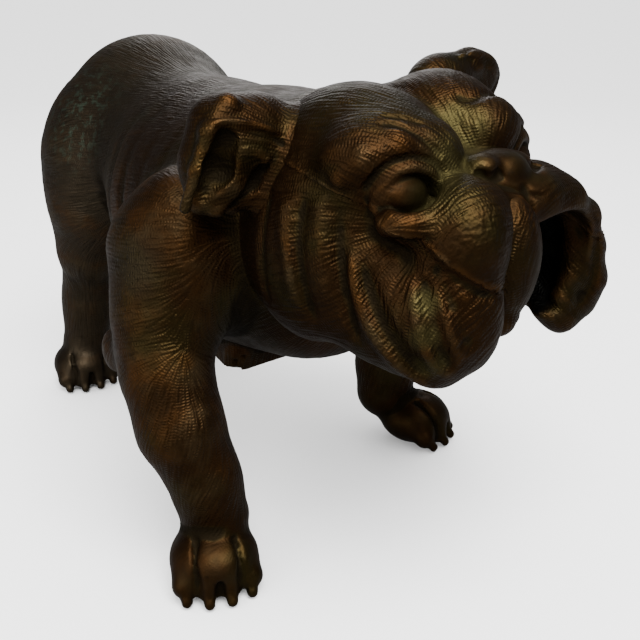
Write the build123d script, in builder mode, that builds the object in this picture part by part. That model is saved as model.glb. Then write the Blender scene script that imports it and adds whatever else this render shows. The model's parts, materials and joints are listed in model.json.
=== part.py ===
from build123d import *
import math
import os

# A hollow-cast bronze bulldog that serves as a coin bank.
# Frame: +Z up, the dog faces -Y and its right side is -X.  The origin is on the ground,
# under the middle of the whole figure.  All sizes are in millimetres.

# ---- Driving dimensions ------------------------------------------------------------------
WALL = 3.0                  # casting wall
JOINT_GAP = 0.1             # brazed seam between two castings
RUNNING = 0.05              # radial clearance of a pin that something turns on
FITTED = 0.03               # radial clearance of a screw or pin that is driven home
SIDE_PLAY = 0.4             # free play beside a knuckle or lug
OVERCUT = 1.0               # how far a cutting form runs past the surface that it cuts

NECK = Vector(1, -57.1, 98)  # centre of the joint between head and body
HEAD_YAW = 6.0              # the head looks a little to the dog's left
MUZZLE_REACH = 61.5         # neck joint to the front of the muzzle

BELLY = Vector(3, 15, 54)   # centre of the coin door's outer face
BELLY_RISE = 18.0           # the belly climbs towards the loin
PAD = (50.0, 68.0, 14.0)    # flat cast frame around the door, and how far it reaches inside
PAD_CORNER = 6.0
PAD_EDGE = 8.0              # width of the frame left around the flat floor inside
FLOOR = 5.5                 # thickness of the casting around the door
FLOOR_CORNER = 5.0
DOOR = (34.0, 48.0, 2.4)    # coin door
DOOR_OPENING = (27.0, 40.0) # hole that the door covers
OPENING_CORNER = 4.0
DOOR_PLAY = 0.3             # gap all round the door
RECESS_CORNER = 3.0

# ---- Sections of the castings ------------------------------------------------------------
# Body, front to back: along Y, centre X, centre Z, half width, half height
BODY = [
    (-57, 1, 98, 38, 41),
    (-40, 0, 93, 47, 44),
    (-15, 1, 92, 49, 43),
    (15, 3, 93, 46, 38),
    (45, 6, 100, 36, 31),
    (75, 10, 106, 38, 35),
    (100, 10, 105, 33, 33),
    (113, 10, 104, 19, 20),
]
# Head, neck to muzzle: reach from the neck, centre Z, half width, half height
HEAD = [
    (0, 98, 37, 38),
    (16, 101, 43, 41),
    (32, 103, 40, 39),
    (47, 102, 35, 35),
    (57, 98, 29, 29),
    (MUZZLE_REACH, 96, 20, 21),
]
# Legs, top to sole: height, distance out from the leg's own line, along Y, half width,
# half length, and how many degrees the section turns out
FRONT_RIGHT_LEG = [
    (112, 36, -21, 9, 14, 0),
    (98, 45, -23, 14, 20, 0),
    (84, 49, -27, 15, 19, 0),
    (70, 53, -32, 13.5, 15, 0),
    (58, 55, -37, 12, 12.5, 0),
    (46, 55, -42, 11, 11.5, 0),
    (31, 51.5, -47, 9.6, 10.5, 0),
    (18, 51, -50.5, 11, 12.5, 12),
    (9, 53.5, -52.5, 13.2, 15.8, 25),
    (0, 53.5, -52.5, 12.5, 15.2, 25),
]
# The left front leg stands straight, further back than the right one.
FRONT_LEFT_LEG = [
    (112, 40, -19, 9, 13, 0),
    (98, 48, -20, 14, 18, 0),
    (84, 52, -20, 15, 17, 0),
    (70, 54, -20, 14, 14.5, 0),
    (58, 54.5, -20, 12.3, 12.5, 0),
    (46, 52, -20, 11.2, 11.5, 0),
    (31, 46.5, -20.5, 10, 10.5, 0),
    (18, 47, -23.5, 11, 13, 12),
    (9, 51.5, -29.5, 13.2, 15.8, 25),
    (0, 51.5, -29.5, 12.5, 15.2, 25),
]
HIND_LEG = [
    (118, 21, 86, 12, 16, 0),
    (104, 27, 86, 16, 22, 0),
    (86, 29.5, 85, 16.5, 22, 0),
    (66, 31, 87, 13.5, 15, 0),
    (46, 30, 94, 9.5, 10.5, 0),
    (34, 30.5, 96, 8.5, 9.5, 0),
    (18, 32.5, 96.5, 9.5, 11.5, 6),
    (9, 35, 97, 13.2, 15.8, 12),
    (0, 35, 97, 12.5, 15.2, 12),
]
FRONT_LINE_X = 0.0          # the front pair stands astride the origin
HIND_LINE_X = 10.0          # the hips swing to the dog's left

# ---- Directions and planes ---------------------------------------------------------------
YAW = math.radians(HEAD_YAW)
FORWARD = Vector(math.sin(YAW), -math.cos(YAW), 0)
LATERAL = Vector(math.cos(YAW), math.sin(YAW), 0)      # towards the dog's left
UP = Vector(0, 0, 1)


def head_point(reach, across, height):
    """A point of the head: reach ahead of the neck, across to its left, height above ground."""
    ahead = NECK + FORWARD * reach + LATERAL * across
    return Vector(ahead.X, ahead.Y, height)


# The seam across the face drops from the ear roots to the front of the muzzle.
SEAM_BACK = head_point(2, 0, 127)
SEAM_FRONT = head_point(56, 0, 94)
SEAM_FALL = (SEAM_FRONT - SEAM_BACK).normalized()
SEAM_PLANE = Plane(origin=(SEAM_BACK + SEAM_FRONT) / 2, x_dir=LATERAL, z_dir=LATERAL.cross(SEAM_FALL) * -1)


# ---- Shared forms ------------------------------------------------------------------------
def body_form(growth=0.0):
    """The body as one loft, grown or shrunk all round by growth."""
    middle = (BODY[0][0] + BODY[-1][0]) / 2
    stretch = 1 + growth / (BODY[-1][0] - middle)
    with BuildPart() as form:
        for along, x, z, half_width, half_height in BODY:
            centre = (x, middle + (along - middle) * stretch, z)
            with BuildSketch(Plane(origin=centre, x_dir=(1, 0, 0), z_dir=(0, -1, 0))):
                Ellipse(half_width + growth, half_height + growth)
        loft()
    return form.part


def head_form(growth=0.0):
    """The head as one loft, grown or shrunk all round by growth."""
    middle = MUZZLE_REACH / 2
    stretch = 1 + growth / middle
    with BuildPart() as form:
        for reach, height, half_width, half_height in HEAD:
            centre = head_point(middle + (reach - middle) * stretch, 0, height)
            ahead = Vector(0, -1, 0) if reach == 0 else FORWARD
            sideways = Vector(1, 0, 0) if reach == 0 else LATERAL
            with BuildSketch(Plane(origin=centre, x_dir=sideways, z_dir=ahead)):
                Ellipse(half_width + growth, half_height + growth)
        loft()
    return form.part


def leg_form(sections, line_x, side, growth=0.0, skip=0):
    """A leg as one loft.  side is -1 for the dog's right.

    growth swells or shrinks it all round, and skip leaves out that many sections at the sole.
    """
    with BuildPart() as form:
        for height, out, along, half_width, half_length, turn in sections[:len(sections) - skip]:
            angle = math.radians(side * turn)
            across = (math.cos(angle), math.sin(angle), 0)
            with BuildSketch(Plane(origin=(line_x + side * out, along, height), x_dir=across, z_dir=UP)):
                Ellipse(half_width + growth, half_length + growth)
        loft()
    return form.part


BODY_OUTER = body_form()
BODY_CAVITY = body_form(-WALL)
BODY_JOINT = body_form(JOINT_GAP)
HEAD_OUTER = head_form()
HEAD_CAVITY = head_form(-WALL)
HEAD_JOINT = head_form(JOINT_GAP)

# ---- Body casting ------------------------------------------------------------------------
THROAT_RADIUS = 24.0        # hole in the body's front wall, from the head to the money chamber
THROAT_CUT = 9.0            # length of the cut that clears the front wall where it curves back
THROAT_SCREW_RING = 27.2    # the throat plate's screws stand on this radius
THROAT_SCREW = 1.1          # radius of a throat screw's shank
THROAT_SCREW_LENGTH = 4.4
HINGE_BACK = 1.6            # hinge line behind the door's edge
HINGE_RADIUS = 2.6          # knuckles
HINGE_PIN = 1.0
HINGE_HALF = 14.0           # half the hinge's length
KNUCKLE_HALF = 7.0          # half the length of the door's own knuckle
DOOR_DEPTH = DOOR[2] + JOINT_GAP    # recess that the door lies in

FRONT_WALL = Plane(origin=(NECK.X, BODY[0][0], NECK.Z), x_dir=(1, 0, 0), z_dir=(0, -1, 0))
TILT = math.radians(BELLY_RISE)
BELLY_PLANE = Plane(origin=BELLY, x_dir=(1, 0, 0), z_dir=(0, -math.sin(TILT), math.cos(TILT)))
HINGE_LINE = BELLY_PLANE.from_local_coords(Vector(0, DOOR[1] / 2 + HINGE_BACK, 0))
HINGE_PLANE = Plane(origin=HINGE_LINE, x_dir=BELLY_PLANE.y_dir, z_dir=(1, 0, 0))

with BuildPart() as torso_casting:
    add(BODY_OUTER)
    with BuildSketch(BELLY_PLANE):
        RectangleRounded(PAD[0], PAD[1], PAD_CORNER)
    extrude(amount=PAD[2])
    add(BODY_CAVITY, mode=Mode.SUBTRACT)
    # the floor around the opening is flat inside as well, so that the latch bar can turn on it
    with BuildSketch(BELLY_PLANE):
        RectangleRounded(PAD[0] - PAD_EDGE, PAD[1] - PAD_EDGE, FLOOR_CORNER)
    extrude(amount=FLOOR)
    with BuildSketch(BELLY_PLANE.offset(FLOOR)):
        RectangleRounded(PAD[0] - PAD_EDGE, PAD[1] - PAD_EDGE, FLOOR_CORNER)
    extrude(amount=PAD[2], mode=Mode.SUBTRACT)
    # recess and opening
    with BuildSketch(BELLY_PLANE):
        RectangleRounded(DOOR[0] + 2 * DOOR_PLAY, DOOR[1] + 2 * DOOR_PLAY, RECESS_CORNER)
    extrude(amount=DOOR_DEPTH, mode=Mode.SUBTRACT)
    with BuildSketch(BELLY_PLANE):
        RectangleRounded(*DOOR_OPENING, OPENING_CORNER)
    extrude(amount=FLOOR + OVERCUT, mode=Mode.SUBTRACT)
    # hinge lugs, one on each side of the door's knuckle
    lug_start = KNUCKLE_HALF + SIDE_PLAY
    for start in (-HINGE_HALF, lug_start):
        with BuildSketch(HINGE_PLANE.offset(start)):
            Circle(HINGE_RADIUS)
        extrude(amount=HINGE_HALF - lug_start)
    # room for the door's knuckle to turn between the lugs
    with BuildSketch(HINGE_PLANE.offset(-lug_start)):
        Circle(HINGE_RADIUS + DOOR_PLAY)
    extrude(amount=2 * lug_start, mode=Mode.SUBTRACT)
    # the pin slides in along a groove from the dog's left
    with BuildSketch(HINGE_PLANE.offset(-HINGE_HALF)):
        Circle(HINGE_PIN + FITTED)
    extrude(amount=HINGE_HALF + PAD[0] / 2 + OVERCUT, mode=Mode.SUBTRACT)
    # throat hole and the screw holes around it
    with BuildSketch(FRONT_WALL.offset(OVERCUT)):
        Circle(THROAT_RADIUS)
        with PolarLocations(THROAT_SCREW_RING, 4, start_angle=45):
            Circle(THROAT_SCREW + FITTED)
    extrude(amount=-THROAT_CUT, mode=Mode.SUBTRACT)
torso_casting.part.label = "torso_casting"

# ---- Legs and tail -----------------------------------------------------------------------
# Each leg is cored from its joint face down to CORE_SECTIONS short of the sole.
CORE_SECTIONS = 2
LEG_PLACES = {
    "front_right_leg": (FRONT_RIGHT_LEG, FRONT_LINE_X, -1),
    "front_left_leg": (FRONT_LEFT_LEG, FRONT_LINE_X, 1),
    "hind_right_leg": (HIND_LEG, HIND_LINE_X, -1),
    "hind_left_leg": (HIND_LEG, HIND_LINE_X, 1),
}
legs = []
for name, place in LEG_PLACES.items():
    outside = leg_form(*place)
    core = leg_form(*place, growth=-WALL, skip=CORE_SECTIONS)
    with BuildPart() as leg:
        add(outside)
        add(core, mode=Mode.SUBTRACT)
        add(BODY_JOINT, mode=Mode.SUBTRACT)
    leg.part.label = name
    legs.append(leg)

# Tail, root to tip: along Y, centre X, centre Z, radius
TAIL = [
    (100, 9, 124, 9.0),
    (110, 9.5, 120, 8.0),
    (114.5, 10.5, 111, 5.5),
    (116, 11.5, 101, 3.5),
]
TAIL_LEAN = (0, 40, 75, 90)     # how far each section has turned from facing back to facing down

with BuildPart() as tail:
    for (along, x, z, radius), lean in zip(TAIL, TAIL_LEAN):
        turn = math.radians(lean)
        onward = (0, math.cos(turn), -math.sin(turn))
        with BuildSketch(Plane(origin=(x, along, z), x_dir=(1, 0, 0), z_dir=onward)):
            Circle(radius)
    loft()
    add(BODY_JOINT, mode=Mode.SUBTRACT)
tail.part.label = "tail"

# ---- Head castings -----------------------------------------------------------------------
BOSS_ACROSS = 34.0          # dowel bosses stand this far to each side of the head's middle
BOSS_RADIUS = 4.2
BOSS_LENGTH = 12.0
DOWEL_RADIUS = 1.5
DOWEL_LENGTH = 9.0
MOUTH = (27.0, 31.0)        # the opening between the lips, width and height
MOUTH_ACROSS = 1.0          # the opening's middle, to the left of the head's middle
MOUTH_HEIGHT = 95.0         # the opening's middle above the ground
MOUTH_CORNER = 4.0
MOUTH_DEPTH = 24.0          # how far the opening is cut in from the muzzle's tip
NECK_HOLE = (32.0, 33.0)    # half width and half height of the head's open back

MOUTH_CENTRE = head_point(MUZZLE_REACH + OVERCUT, MOUTH_ACROSS, MOUTH_HEIGHT)
MOUTH_PLANE = Plane(origin=MOUTH_CENTRE, x_dir=LATERAL, z_dir=FORWARD)

with BuildPart() as head_shell:
    add(HEAD_OUTER)
    add(HEAD_CAVITY, mode=Mode.SUBTRACT)
    with BuildSketch(FRONT_WALL):
        Ellipse(*NECK_HOLE)
    extrude(amount=WALL + 2 * OVERCUT, mode=Mode.SUBTRACT)
    with BuildSketch(SEAM_PLANE.offset(-BOSS_LENGTH / 2)):
        with GridLocations(2 * BOSS_ACROSS, 0, 2, 1):
            Circle(BOSS_RADIUS)
    extrude(amount=BOSS_LENGTH)
    with BuildSketch(SEAM_PLANE.offset(-DOWEL_LENGTH / 2)):
        with GridLocations(2 * BOSS_ACROSS, 0, 2, 1):
            Circle(DOWEL_RADIUS + FITTED)
    extrude(amount=DOWEL_LENGTH, mode=Mode.SUBTRACT)
    with BuildSketch(MOUTH_PLANE):
        RectangleRounded(MOUTH[0], MOUTH[1], MOUTH_CORNER)
    extrude(amount=-MOUTH_DEPTH - OVERCUT, mode=Mode.SUBTRACT)

with BuildPart() as upper_head_casting:
    add(head_shell.part)
    split(bisect_by=SEAM_PLANE.offset(JOINT_GAP / 2), keep=Keep.TOP)
upper_head_casting.part.label = "upper_head_casting"

with BuildPart() as jowl_casting:
    add(head_shell.part)
    split(bisect_by=SEAM_PLANE.offset(-JOINT_GAP / 2), keep=Keep.BOTTOM)
jowl_casting.part.label = "jowl_casting"

with BuildPart() as head_dowels:
    with BuildSketch(SEAM_PLANE.offset(-DOWEL_LENGTH / 2 + JOINT_GAP)):
        with GridLocations(2 * BOSS_ACROSS, 0, 2, 1):
            Circle(DOWEL_RADIUS)
    extrude(amount=DOWEL_LENGTH - 2 * JOINT_GAP)
head_dowels.part.label = "head_dowels"

# Chin, foot to top: height, half width, half depth.  It stands on the mouth's lower edge.
MOUTH_FLOOR = MOUTH_CENTRE.Z - MOUTH[1] / 2
CHIN_CLEARANCE = 1.5        # left free above the chin
CHIN_HEIGHT = MOUTH[1] - CHIN_CLEARANCE
CHIN_ACROSS = -3.6
CHIN_REACH = 56.0
CHIN = [(0.0, 4.0, 6.0), (0.3, 7.8, 7.5), (0.62, 8.6, 8.5), (0.88, 6.5, 7.0), (1.0, 3.5, 4.0)]

with BuildPart() as chin_casting:
    for rise, half_width, half_depth in CHIN:
        centre = head_point(CHIN_REACH, CHIN_ACROSS, MOUTH_FLOOR + JOINT_GAP + rise * CHIN_HEIGHT)
        with BuildSketch(Plane(origin=centre, x_dir=LATERAL, z_dir=UP)):
            Ellipse(half_width, half_depth)
    loft()
chin_casting.part.label = "chin_casting"

# ---- Ears --------------------------------------------------------------------------------
EAR_THICKNESS = 3.6
EAR_SAG_PLACE = 0.55        # where the lower edge sags most, as a share of the way to the tip
# root, top and tip of each ear, and how far its lower edge sags
RIGHT_EAR = (Vector(-25, -59, 122), Vector(-45, -49, 140), Vector(-59, -49, 111), 6.0)
LEFT_EAR = (Vector(26, -56, 122), Vector(44, -48, 145), Vector(69, -50, 135), 12.0)


def ear_form(root, top, tip, droop):
    """A flap through its root, top and tip, whose lower edge sags by droop."""
    across = (tip - root).normalized()
    facing = across.cross(top - root).normalized()
    flat = Plane(origin=root, x_dir=across, z_dir=facing)
    top_point = flat.to_local_coords(top)
    reach = (tip - root).length
    with BuildPart() as form:
        with BuildSketch(flat):
            with BuildLine():
                Spline((0, 0), (top_point.X, top_point.Y), (reach, 0))
                Spline((reach, 0), (reach * EAR_SAG_PLACE, -droop), (0, 0))
            make_face()
        extrude(amount=EAR_THICKNESS / 2, both=True)
        add(HEAD_JOINT, mode=Mode.SUBTRACT)
        add(BODY_JOINT, mode=Mode.SUBTRACT)
    return form.part


with BuildPart() as right_ear:
    add(ear_form(*RIGHT_EAR))
right_ear.part.label = "right_ear"

with BuildPart() as left_ear:
    add(ear_form(*LEFT_EAR))
left_ear.part.label = "left_ear"

# ---- Throat plate and coin flap ----------------------------------------------------------
PLATE_RADIUS = 30.0
PLATE_THICKNESS = 1.5
SLOT = (27.0, 5.0)          # coin slot, height and width
SLOT_DROP = 2.0             # the slot's middle below the neck's middle
FLAP_PIN = 0.8
FLAP_LINE = (2.0, 13.0)     # flap pin behind the plate and above the neck's middle
FLAP = (22.0, 29.0, 1.2)    # width, height below the pin, thickness
FLAP_CORNER = 3.0
FLAP_BARREL = 1.6
LUG_THICKNESS = 2.0
LUG_START = FLAP[0] / 2 + SIDE_PLAY
LUG_RADIUS = 2.0

FLAP_AXIS = FRONT_WALL.from_local_coords(Vector(0, FLAP_LINE[1], -FLAP_LINE[0]))
FLAP_PLANE = Plane(origin=FLAP_AXIS, x_dir=(0, 1, 0), z_dir=(1, 0, 0))

with BuildPart() as throat_plate:
    with BuildSketch(FRONT_WALL.offset(JOINT_GAP)):
        Circle(PLATE_RADIUS)
        with Locations((0, -SLOT_DROP)):
            SlotOverall(*SLOT, rotation=90, mode=Mode.SUBTRACT)
        with PolarLocations(THROAT_SCREW_RING, 4, start_angle=45):
            Circle(THROAT_SCREW + FITTED, mode=Mode.SUBTRACT)
    extrude(amount=PLATE_THICKNESS)
    for start in (-LUG_START - LUG_THICKNESS, LUG_START):
        with BuildSketch(FLAP_PLANE.offset(start)):
            Circle(LUG_RADIUS)
            with Locations((-FLAP_LINE[0] / 2, 0)):
                Rectangle(FLAP_LINE[0] + 2 * JOINT_GAP, 2 * LUG_RADIUS)
            Circle(FLAP_PIN + FITTED, mode=Mode.SUBTRACT)
        extrude(amount=LUG_THICKNESS)
throat_plate.part.label = "throat_plate"

with BuildPart() as throat_screws:
    plate_front = FRONT_WALL.offset(JOINT_GAP + PLATE_THICKNESS)
    with BuildSketch(plate_front):
        with PolarLocations(THROAT_SCREW_RING, 4, start_angle=45):
            Circle(THROAT_SCREW)
    extrude(amount=-THROAT_SCREW_LENGTH)
    with BuildSketch(plate_front):
        with PolarLocations(THROAT_SCREW_RING, 4, start_angle=45):
            Circle(2 * THROAT_SCREW)
    extrude(amount=THROAT_SCREW)
throat_screws.part.label = "throat_screws"

with BuildPart() as coin_flap:
    with BuildSketch(FLAP_PLANE.offset(-FLAP[0] / 2)):
        Circle(FLAP_BARREL)
        with Locations((0, -FLAP[1] / 2)):
            Rectangle(FLAP[2], FLAP[1])
        Circle(FLAP_PIN + RUNNING, mode=Mode.SUBTRACT)
    extrude(amount=FLAP[0])
    fillet(coin_flap.edges().filter_by(Axis.Y).group_by(Axis.Z)[0], FLAP_CORNER)
coin_flap.part.label = "coin_flap"

with BuildPart() as flap_pin:
    pin_half = LUG_START + LUG_THICKNESS + SIDE_PLAY
    with BuildSketch(FLAP_PLANE.offset(-pin_half)):
        Circle(FLAP_PIN)
    extrude(amount=2 * pin_half)
flap_pin.part.label = "flap_pin"

# ---- Coin door and its latch -------------------------------------------------------------
LATCH_INSET = 9.0           # latch centre behind the door's front edge
LATCH_HEAD = (5.0, 1.0)     # slotted head, radius and thickness
LATCH_SLOT = (1.4, 0.6)     # turned with a coin: width and depth
LATCH_SHANK = 2.5
WASHER = (4.5, 0.8)         # radius and thickness
SPACER = (3.6, 5.8)         # radius and height of its top above the door's outer face
BAR = (6.0, 11.0, 1.6)      # width, reach and thickness
BAR_CORNER = 1.5
BAR_SQUARE = 3.2            # square seat of the bar on the stem
BAR_TAIL = 3.6              # the bar's length behind its centre
THREAD = 1.5
NUT = (3.0, 2.2)            # radius across corners and thickness
STEM_END = 0.8              # thread showing past the nut

LATCH_PLANE = Plane(
    origin=BELLY_PLANE.from_local_coords(Vector(0, LATCH_INSET - DOOR[1] / 2, 0)),
    x_dir=(1, 0, 0),
    z_dir=BELLY_PLANE.z_dir,
)

with BuildPart() as trap_door:
    with BuildSketch(BELLY_PLANE):
        RectangleRounded(DOOR[0], DOOR[1], RECESS_CORNER - DOOR_PLAY)
    extrude(amount=DOOR[2])
    # notches that pass around the lugs as the door swings
    for start in (-HINGE_HALF - SIDE_PLAY, KNUCKLE_HALF):
        with BuildSketch(HINGE_PLANE.offset(start)):
            Circle(HINGE_RADIUS + DOOR_PLAY)
        extrude(amount=HINGE_HALF + SIDE_PLAY - KNUCKLE_HALF, mode=Mode.SUBTRACT)
    with BuildSketch(HINGE_PLANE.offset(-KNUCKLE_HALF)):
        Circle(HINGE_RADIUS)
    extrude(amount=2 * KNUCKLE_HALF)
    with BuildSketch(HINGE_PLANE.offset(-KNUCKLE_HALF)):
        Circle(HINGE_PIN + RUNNING)
    extrude(amount=2 * KNUCKLE_HALF, mode=Mode.SUBTRACT)
    with BuildSketch(LATCH_PLANE):
        Circle(LATCH_HEAD[0] + RUNNING)
    extrude(amount=LATCH_HEAD[1] + JOINT_GAP, mode=Mode.SUBTRACT)
    with BuildSketch(LATCH_PLANE):
        Circle(LATCH_SHANK + RUNNING)
    extrude(amount=DOOR[2], mode=Mode.SUBTRACT)
trap_door.part.label = "trap_door"

with BuildPart() as hinge_pin:
    with BuildSketch(HINGE_PLANE.offset(SIDE_PLAY - HINGE_HALF)):
        Circle(HINGE_PIN)
    extrude(amount=2 * (HINGE_HALF - SIDE_PLAY))
hinge_pin.part.label = "hinge_pin"

with BuildPart() as latch_stem:
    with BuildSketch(LATCH_PLANE):
        Circle(LATCH_HEAD[0])
    extrude(amount=LATCH_HEAD[1])
    with BuildSketch(LATCH_PLANE):
        Circle(LATCH_SHANK)
    extrude(amount=SPACER[1])
    with BuildSketch(LATCH_PLANE.offset(SPACER[1])):
        Rectangle(BAR_SQUARE, BAR_SQUARE)
    extrude(amount=BAR[2])
    with BuildSketch(LATCH_PLANE.offset(SPACER[1] + BAR[2])):
        Circle(THREAD)
    extrude(amount=NUT[1] + STEM_END)
    with BuildSketch(LATCH_PLANE):
        Rectangle(2 * (LATCH_HEAD[0] + OVERCUT), LATCH_SLOT[0])
    extrude(amount=LATCH_SLOT[1], mode=Mode.SUBTRACT)
latch_stem.part.label = "latch_stem"

with BuildPart() as latch_washer:
    with BuildSketch(LATCH_PLANE.offset(DOOR[2] + JOINT_GAP)):
        Circle(WASHER[0])
        Circle(LATCH_SHANK + FITTED, mode=Mode.SUBTRACT)
    extrude(amount=WASHER[1])
latch_washer.part.label = "latch_washer"

with BuildPart() as latch_spacer:
    spacer_foot = DOOR[2] + JOINT_GAP + WASHER[1]
    with BuildSketch(LATCH_PLANE.offset(spacer_foot)):
        Circle(SPACER[0])
        Circle(LATCH_SHANK + FITTED, mode=Mode.SUBTRACT)
    extrude(amount=SPACER[1] - spacer_foot)
latch_spacer.part.label = "latch_spacer"

with BuildPart() as latch_bar:
    with BuildSketch(LATCH_PLANE.offset(SPACER[1])):
        with Locations(((BAR[1] - BAR_TAIL) / 2, 0)):
            RectangleRounded(BAR[1] + BAR_TAIL, BAR[0], BAR_CORNER)
        Rectangle(BAR_SQUARE + 2 * FITTED, BAR_SQUARE + 2 * FITTED, mode=Mode.SUBTRACT)
    extrude(amount=BAR[2])
latch_bar.part.label = "latch_bar"

with BuildPart() as latch_nut:
    with BuildSketch(LATCH_PLANE.offset(SPACER[1] + BAR[2])):
        RegularPolygon(NUT[0], 6)
        Circle(THREAD + FITTED, mode=Mode.SUBTRACT)
    extrude(amount=NUT[1])
latch_nut.part.label = "latch_nut"

# ---- Files -------------------------------------------------------------------------------
PIECES = [
    torso_casting, *legs, tail, upper_head_casting, jowl_casting, head_dowels, chin_casting,
    right_ear, left_ear, throat_plate, throat_screws, coin_flap, flap_pin, trap_door, hinge_pin,
    latch_stem, latch_washer, latch_spacer, latch_bar, latch_nut,
]
os.makedirs("parts", exist_ok=True)
for piece in PIECES:
    export_step(piece.part, f"parts/{piece.part.label}.step")
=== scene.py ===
import json
import math

import bpy
import numpy as np
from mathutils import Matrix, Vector


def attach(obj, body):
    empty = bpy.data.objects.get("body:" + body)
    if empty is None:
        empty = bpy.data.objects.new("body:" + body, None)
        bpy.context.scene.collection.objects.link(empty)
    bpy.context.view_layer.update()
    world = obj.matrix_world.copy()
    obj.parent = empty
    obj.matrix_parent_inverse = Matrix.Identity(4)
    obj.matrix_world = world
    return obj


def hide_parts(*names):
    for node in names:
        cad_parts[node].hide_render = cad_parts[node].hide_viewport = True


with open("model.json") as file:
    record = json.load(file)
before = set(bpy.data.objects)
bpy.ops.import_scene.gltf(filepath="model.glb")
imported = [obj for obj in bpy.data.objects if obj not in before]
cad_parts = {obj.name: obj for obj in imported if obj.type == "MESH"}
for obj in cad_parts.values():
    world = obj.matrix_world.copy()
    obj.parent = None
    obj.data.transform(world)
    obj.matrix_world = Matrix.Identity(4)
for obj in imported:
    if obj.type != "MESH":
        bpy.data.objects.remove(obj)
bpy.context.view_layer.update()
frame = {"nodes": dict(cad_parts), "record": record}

# The dog is sculpted as distance functions in millimetres, meshed, and handed to Blender in
# metres.  +Z is up, the dog faces -Y and its right side is -X, as in the CAD frame.

# ---- Sculpting tools ------------
MM = 0.001
TINY = 1e-6
BLOCK = 8  # grid cells along the side of one sampling block
BATCH = 1500  # blocks worked out at a time


def vec(*numbers):
    return np.array(numbers, np.float32)


def blend_min(a, b, radius):
    """Union of two forms with a fillet of about this radius."""
    share = np.maximum(radius - np.abs(a - b), 0.0) / radius
    return np.minimum(a, b) - share * share * radius * 0.25


def blend_max(a, b, radius):
    return -blend_min(-a, -b, radius)


def ellipsoid(points, centre, radii, turn=(0, 0, 0)):
    """Distance to an ellipsoid, turned by these degrees about X, Y and Z in that order."""
    local = points - vec(*centre)
    if any(turn):
        local = local @ turning(turn)
    near = np.sqrt(((local / vec(*radii)) ** 2).sum(1)) + TINY
    slope = np.sqrt(((local / vec(*radii) ** 2) ** 2).sum(1)) + TINY
    return near * (near - 1.0) / slope


def turning(degrees):
    """Rotation matrix for row vectors in the turned form's own axes."""
    x, y, z = (math.radians(d) for d in degrees)
    about_x = np.array([[1, 0, 0], [0, math.cos(x), -math.sin(x)], [0, math.sin(x), math.cos(x)]])
    about_y = np.array([[math.cos(y), 0, math.sin(y)], [0, 1, 0], [-math.sin(y), 0, math.cos(y)]])
    about_z = np.array([[math.cos(z), -math.sin(z), 0], [math.sin(z), math.cos(z), 0], [0, 0, 1]])
    return (about_z @ about_y @ about_x).astype(np.float32)


def limb(points, start, end, start_radius, end_radius):
    """Distance to a rod that tapers from one radius to the other."""
    a, b = vec(*start), vec(*end)
    along = b - a
    share = np.clip(((points - a) @ along) / float(along @ along), 0.0, 1.0)
    gap = points - (a + share[:, None] * along)
    return np.sqrt((gap ** 2).sum(1)) - (start_radius + (end_radius - start_radius) * share)


def chain(points, joints, fillet=4.0):
    """A limb through several joints, each given as (place, radius), with fillets between."""
    result = None
    for (start, r0), (end, r1) in zip(joints, joints[1:]):
        part = limb(points, start, end, r0, r1)
        result = part if result is None else blend_min(result, part, fillet)
    return result


def blend_forms(points, forms, start=None):
    """Union of ellipsoids, each given as (centre, radii, fillet) and perhaps a turn."""
    result = start
    for centre, radii, fillet, *turn in forms:
        part = ellipsoid(points, centre, radii, *turn)
        result = part if result is None else blend_min(result, part, fillet)
    return result


def smooth_path(places, steps=6):
    """Catmull-Rom curve through the places."""
    p = np.array(places, np.float64)
    p = np.vstack([2 * p[0] - p[1], p, 2 * p[-1] - p[-2]])
    out = []
    for i in range(1, len(p) - 2):
        for t in np.arange(steps) / steps:
            out.append(0.5 * (2 * p[i] + (p[i + 1] - p[i - 1]) * t
                              + (2 * p[i - 1] - 5 * p[i] + 4 * p[i + 1] - p[i + 2]) * t ** 2
                              + (3 * p[i] - p[i - 1] - 3 * p[i + 1] + p[i + 2]) * t ** 3))
    out.append(p[-2])
    return np.array(out, np.float32)


def path_reach(points, path):
    """Distance from each point to a path, and how far along the path (0 to 1) that is."""
    best = np.full(len(points), np.inf, np.float32)
    where = np.zeros(len(points), np.float32)
    count = len(path) - 1
    for i in range(count):
        along = path[i + 1] - path[i]
        share = np.clip(((points - path[i]) @ along) / (along @ along + 1e-9), 0.0, 1.0)
        gap = points - (path[i] + share[:, None] * along)
        reach = (gap ** 2).sum(1)
        closer = reach < best
        best[closer] = reach[closer]
        where[closer] = (i + share[closer]) / count
    return np.sqrt(best), where


def crease(distance, points, places, width, depth, fade=0.15):
    """Cuts a soft groove along a path, or raises a ridge where depth is negative.

    The groove fades out over the given share of its length at both ends.
    """
    path = smooth_path(places)
    margin = 3.0 * width
    near = np.all((points > path.min(0) - margin) & (points < path.max(0) + margin), axis=1)
    if not near.any():
        return distance
    reach, where = path_reach(points[near], path)
    ends = np.clip(np.minimum(where, 1 - where) / fade, 0.0, 1.0) if fade else 1.0
    distance = distance.copy()
    distance[near] += depth * ends * np.exp(-(reach / width) ** 2)
    return distance


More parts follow.
